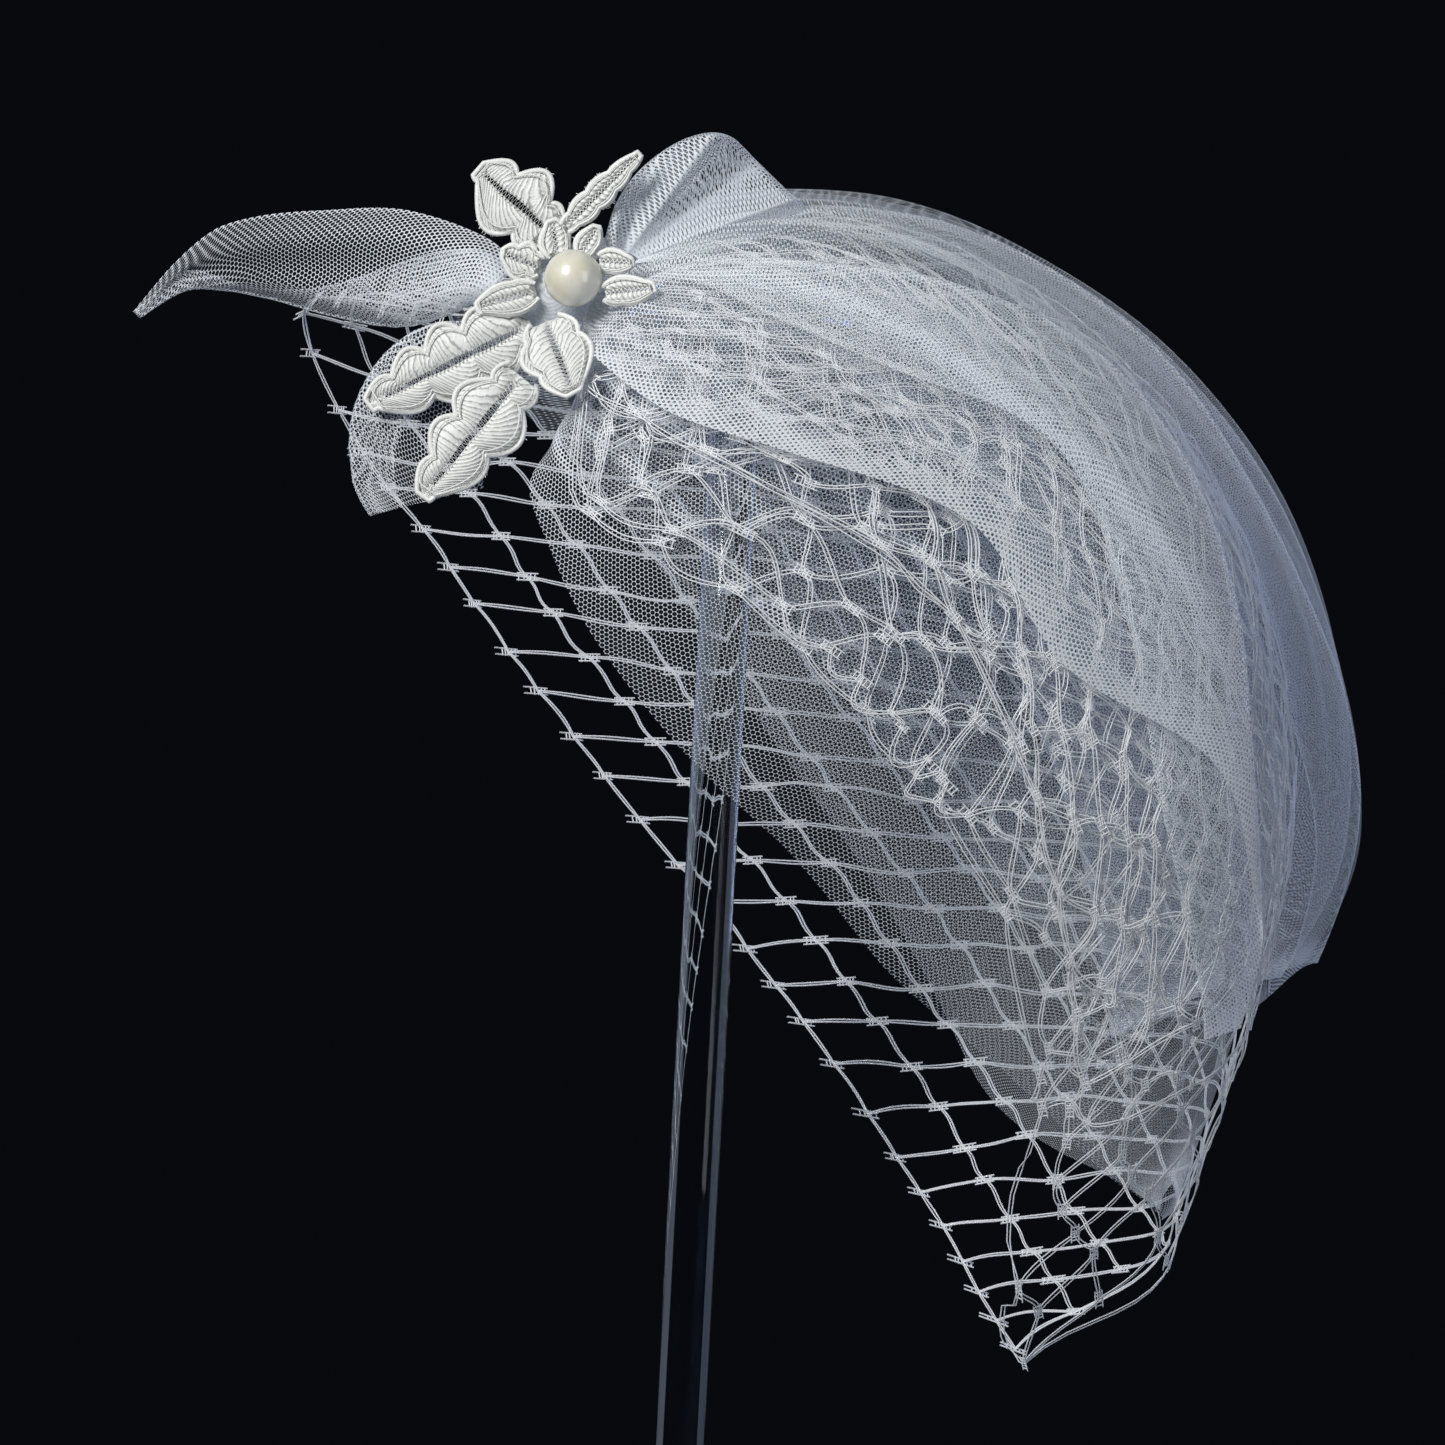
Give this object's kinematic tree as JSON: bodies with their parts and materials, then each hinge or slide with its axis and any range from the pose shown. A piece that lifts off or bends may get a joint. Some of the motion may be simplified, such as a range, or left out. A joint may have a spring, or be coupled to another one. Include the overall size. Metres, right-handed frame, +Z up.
{
  "type": "bridal veil on a display stand",
  "caption": "Short white bridal veil of tulle and diamond netting, gathered at one side under lace leaves and a pearl, resting on a clear rod stand.",
  "frame": {"origin": "centre of the stand base's underside, on the floor", "axes": "+Z up along the stand's rod, +X towards the veil's closed back, -Y towards the side with the lace and the pearl"},
  "size_m": [0.2359, 0.1642, 0.3376],
  "materials": {
    "tulle": "sheer fine white tulle",
    "netting": "open white diamond veiling",
    "lace": "corded ivory white lace",
    "pearl": "cream pearl",
    "clear_acrylic": "clear polished acrylic"
  },
  "bodies": {
    "root": {"veil_tulle": "tulle", "outer_tulle": "tulle", "tail_upper": "tulle", "tail_lower": "tulle", "bow_loop": "tulle", "gather_knot": "tulle", "birdcage_net": "netting", "net_fold": "netting", "lace_leaf_long": "lace", "lace_leaf_low": "lace", "lace_leaf_broad": "lace", "lace_leaf_top": "lace", "lace_sprig": "lace", "petal_left": "lace", "petal_upper_left": "lace", "petal_top": "lace", "petal_upper_right": "lace", "petal_right": "lace", "petal_lower_right": "lace", "pearl": "pearl", "stand_base": "clear_acrylic", "stand_rod": "clear_acrylic", "stand_cap": "clear_acrylic"}
  },
  "joints": []
}
